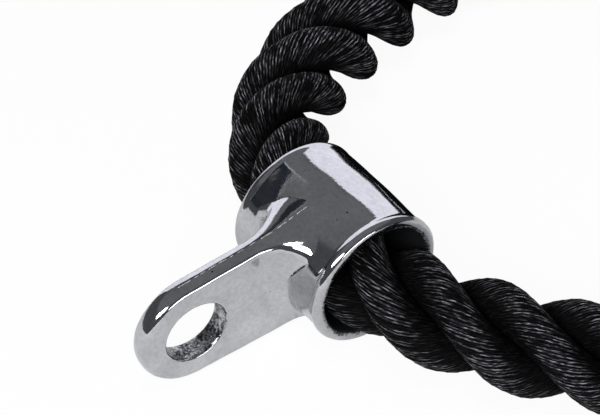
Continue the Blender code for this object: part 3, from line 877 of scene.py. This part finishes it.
def pressedAluminium(metal):
    # Rolled aluminium, pressed round the rope: satin, with dull rubbed patches
    where = addNode(metal, "TexCoord", output="Object")
    rubbed = addNode(metal, "TexNoise", {"Vector": where, "Scale": 1 / (2.5 * mm), "Detail": 5.0})
    grain = addNode(metal, "TexNoise", {"Vector": where, "Scale": 1 / (0.3 * mm), "Detail": 1.0})
    tone = addNode(metal, "Mix", {"Factor": rubbed, 6: "#c6c7c8", 7: "#d9dadb"}, **blend)
    rough = addNode(metal, "MapRange", {
        "Value": rubbed, "From Min": 0.3, "From Max": 0.7, "To Min": 0.28, "To Max": 0.48})
    bump = addNode(metal, "Bump", {"Height": grain, "Strength": 0.5, "Distance": 0.01 * mm})
    return addNode(metal, "BsdfPrincipled", {
        "Base Color": tone, "Metallic": 1.0, "Roughness": rough, "Normal": bump})


def mouldedNylon(nylon):
    # Injection-moulded nylon with a spark-eroded skin: black, matte, a little shiny where rubbed
    where = addNode(nylon, "TexCoord", output="Object")
    eroded = addNode(nylon, "TexNoise", {"Vector": where, "Scale": 1 / (0.3 * mm), "Detail": 2.0})
    rubbed = addNode(nylon, "TexNoise", {"Vector": where, "Scale": 1 / (6.0 * mm), "Detail": 4.0})
    tone = addNode(nylon, "Mix", {"Factor": rubbed, 6: "#1b1b1d", 7: "#28282a"}, **blend)
    rough = addNode(nylon, "MapRange", {
        "Value": rubbed, "From Min": 0.35, "From Max": 0.65, "To Min": 0.58, "To Max": 0.40})
    bump = addNode(nylon, "Bump", {"Height": eroded, "Strength": 0.5, "Distance": 0.04 * mm})
    return addNode(nylon, "BsdfPrincipled", {
        "Base Color": tone, "Roughness": rough, "IOR": 1.53, "Normal": bump})


def makeEnds(size, places):
    pieces = (
        ("rubber_stop", "end_stop", stopOutline(size), "rubber",
         makeMaterial("compression_moulded_rubber", mouldedRubber)),
        ("steel_washer", "stop_washer", tubeOutline(size, size["washer"]), "washer",
         makeMaterial("zinc_plated_steel", platedSteel)),
        ("pressed_band", "crimp_band", tubeOutline(size, size["band"], size["fluteShares"]), "band",
         makeMaterial("pressed_aluminium", pressedAluminium)),
        ("nylon_cap", "end_cap", capOutline(size), "cap",
         makeMaterial("injection_moulded_nylon", mouldedNylon)),
    )
    for side, place in zip(("far_", "near_"), places):
        for name, node, outline, slot, material in pieces:
            turnPiece(side + name, side + node, outline, size, place, material)


makeEnds(end, ropeEnds)
print("ends are fitted")


# Floor, world and lamps

studio = {
    "floorSize": 6.0,
    "floorColour": "#d2d2d3",
    "ownLight": 0.94,             # share of the floor that shows plain white, without shadow
    "mirroredLight": 0.05,        # the same in the chrome
    "ceiling": "#7d7d80",
    "wall": "#58595c",
    "ceilingSpan": (35, 45),      # elevations between which the wall turns into the ceiling
    "reflector": 150,             # azimuth of its middle, and its half width in degrees
    "reflectorReach": 36,
    "reflectorTop": 38,
    "reflectorEdges": (2, 1),     # how soft its sides and its top are, in degrees
    "reflectorColour": "#eeedf7",
    "reflectorStrength": 1.55,
}


def direction(azimuth, elevation):
    # Azimuth from +X towards +Y, elevation above the floor, in degrees
    level = cos(radians(elevation))
    return Vector((level * cos(radians(azimuth)), level * sin(radians(azimuth)),
                   sin(radians(elevation))))


def paleFloor(floor, setup):
    rays = addNode(floor, "LightPath").node.outputs
    mirrored = addNode(floor, "Math", {
        0: rays["Is Glossy Ray"], 1: rays["Is Transmission Ray"]}, operation="MAXIMUM")
    mirrored = addNode(floor, "Math", {
        0: mirrored, 1: setup["mirroredLight"]}, operation="MULTIPLY")
    share = addNode(floor, "Math", {
        0: rays["Is Camera Ray"], 1: setup["ownLight"], 2: mirrored}, operation="MULTIPLY_ADD")
    matte = addNode(floor, "BsdfDiffuse", {"Color": setup["floorColour"]})
    white = addNode(floor, "Emission", {"Color": "#ffffff"})
    return addNode(floor, "MixShader", {"Fac": share, 1: matte, 2: white})


def makeFloor(setup):
    half = setup["floorSize"] / 2
    corners = [(-half, -half, 0), (half, -half, 0), (half, half, 0), (-half, half, 0)]
    material = makeMaterial("pale_floor", paleFloor, setup)
    addPiece("floor", corners, [(0, 1, 2, 3)], material)


def makeWorld(setup):
    # Grey walls, a lighter ceiling, and one wide pale reflector that stands behind the object
    world = bpy.data.worlds.new("studio")
    bpy.context.scene.world = world
    world.use_nodes = True
    world.node_tree.nodes.clear()
    way = addNode(world, "TexCoord", output="Generated")
    rise = addNode(world, "SeparateXYZ", {"Vector": way}, "Z")
    start, full = [sin(radians(elevation)) for elevation in setup["ceilingSpan"]]
    above = addNode(world, "MapRange", {
        "Value": rise, "From Min": start, "From Max": full}, **smooth)
    room = addNode(world, "Mix", {
        "Factor": above, 6: setup["wall"], 7: setup["ceiling"]}, **blend)
    level = addNode(world, "VectorMath", {0: way, 1: (1, 1, 0)}, operation="MULTIPLY")
    level = addNode(world, "VectorMath", {0: level}, operation="NORMALIZE")
    side, top = setup["reflectorReach"], setup["reflectorTop"]
    softSide, softTop = setup["reflectorEdges"]
    beside = addNode(world, "VectorMath", {
        0: level, 1: direction(setup["reflector"], 0)}, "Value", operation="DOT_PRODUCT")
    beside = addNode(world, "MapRange", {
        "Value": beside,
        "From Min": cos(radians(side + softSide)),
        "From Max": cos(radians(side))}, **smooth)
    under = addNode(world, "MapRange", {
        "Value": rise,
        "From Min": sin(radians(top + softTop)),
        "From Max": sin(radians(top))}, **smooth)
    share = addNode(world, "Math", {0: beside, 1: under}, operation="MULTIPLY")
    walls = addNode(world, "Background", {"Color": room})
    reflector = addNode(world, "Background", {
        "Color": setup["reflectorColour"], "Strength": setup["reflectorStrength"]})
    light = addNode(world, "MixShader", {"Fac": share, 1: walls, 2: reflector})
    seen = addNode(world, "LightPath", output="Is Camera Ray")
    white = addNode(world, "Background", {"Color": "#ffffff"})
    both = addNode(world, "MixShader", {"Fac": seen, 1: light, 2: white})
    addNode(world, "OutputWorld", {"Surface": both})


flag = {
    # Painted reflection: a dark glowing card with a glowing pale edge, close behind the collar,
    # seen only mirrored in the chrome
    "from": -8.5,                 # where its reflection in the collar ends, in mm from the middle
    "high": 14.5,                 # degrees from the collar's top, the same for both its ends
    "low": 54.0,
    "points": 12,
    "distance": 70.0,
    "width": 12.5,
    "sideEdge": 0.8,
    "topEdge": 2.6,
    # Painted reflection colours: the card's two dark tones and its glowing pale edge
    "card": ("#252e37", "#3d3d43"),
    "edge": "#c9ccd2",
    # A second card lies on the floor behind the collar, a painted shadow that only the chrome
    # mirrors; its corners are in millimetres from the collar's middle
    "floorCorners": ((-8, 36), (-58, 140), (-46, 34), (-104, 116)),
    "floorGap": 0.4,
    "floorShadowColour": "#0c0d10",
}


def glowing(card, colour, other=None):
    # A glowing card, painted light that only the chrome mirrors: it shows one colour, or soft
    # patches of two
    if other:
        where = addNode(card, "TexCoord", output="Object")
        patches = addNode(card, "TexNoise", {"Vector": where, "Scale": 1 / (22.2 * mm)})
        colour = addNode(card, "Mix", {"Factor": patches, 6: colour, 7: other}, **blend)
    return addNode(card, "Emission", {"Color": colour})


def makePaintedReflections(setup, size):
    # Its inner edge is where the camera sees it mirrored in the collar at one place along the bore
    camera = Vector(cameraSetup["fromCollar"])
    inner = []
    for angle in np.linspace(setup["high"], setup["low"], setup["points"]):
        out = Vector(fromTop(angle))
        spot = out * size["collarRadius"] * mm + Vector((setup["from"] * mm, 0, 0))
        view = (camera - spot).normalized()
        mirrored = 2 * view.dot(out) * out - view
        inner.append(collarCentre + spot + mirrored * setup["distance"] * mm)
    back = Vector((-1, 0, 0)) * mm
    rise = (inner[0] - inner[1]).normalized() * setup["topEdge"] * mm
    outer = [point + back * setup["width"] for point in inner]
    rim = [point - back * setup["sideEdge"] for point in inner]
    onFloor = [Vector((collarCentre.x + x * mm, collarCentre.y + y * mm, setup["floorGap"] * mm))
               for x, y in setup["floorCorners"]]
    top = [inner[0], outer[0]]
    top += [point + rise for point in top]
    strips = (
        ("floor_painted_shadow", onFloor, "painted_floor_shadow_card", (setup["floorShadowColour"],)),
        ("painted_reflection_card", inner + outer, "painted_dark_reflection", setup["card"]),
        ("painted_highlight_side_edge", inner + rim, "painted_highlight_edge", (setup["edge"],)),
        ("painted_highlight_top_edge", top, "painted_highlight_rim", (setup["edge"],)),
    )
    for name, points, paint, colours in strips:
        n = len(points) // 2
        faces = [(i, i + 1, n + i + 1, n + i) for i in range(n - 1)]
        strip = addPiece(name, points, faces, makeMaterial(paint, glowing, *colours))
        # Painted reflection and painted shadow: only mirrored, never seen directly, lit or casting
        # a shadow
        strip.visible_camera = False
        strip.visible_diffuse = False
        strip.visible_shadow = False


lamps = {
    # azimuth from +X towards +Y and elevation in degrees, distance, width and height in metres,
    # brightness, where 1 is a white floor's, and whether the chrome shows it
    "key_softbox": (-58, 36, 1.2, 0.95, 0.42, 12.0, True),
    "low_softbox": (4, 13, 1.2, 0.80, 0.20, 6.0, True),
    "top_softbox": (-60, 80, 1.3, 0.60, 0.60, 7.0, False),
}


def makeLamps():
    for name, values in lamps.items():
        azimuth, elevation, distance, width, height, brightness, mirrored = values
        data = bpy.data.lights.new(name, "AREA")
        data.shape = "ELLIPSE"
        data.size = width
        data.size_y = height
        data.energy = brightness * pi * width * height
        lamp = addObject(name, data)
        way = direction(azimuth, elevation)
        lamp.location = collarCentre + way * distance
        lamp.rotation_euler = way.to_track_quat("Z", "Y").to_euler()
        lamp.visible_camera = False
        lamp.visible_glossy = mirrored


makeFloor(studio)
makeWorld(studio)
makeLamps()
makePaintedReflections(flag, fitting)
bpy.context.scene.view_settings.view_transform = "Standard"
print("studio is lit")

bpy.context.view_layer.update()
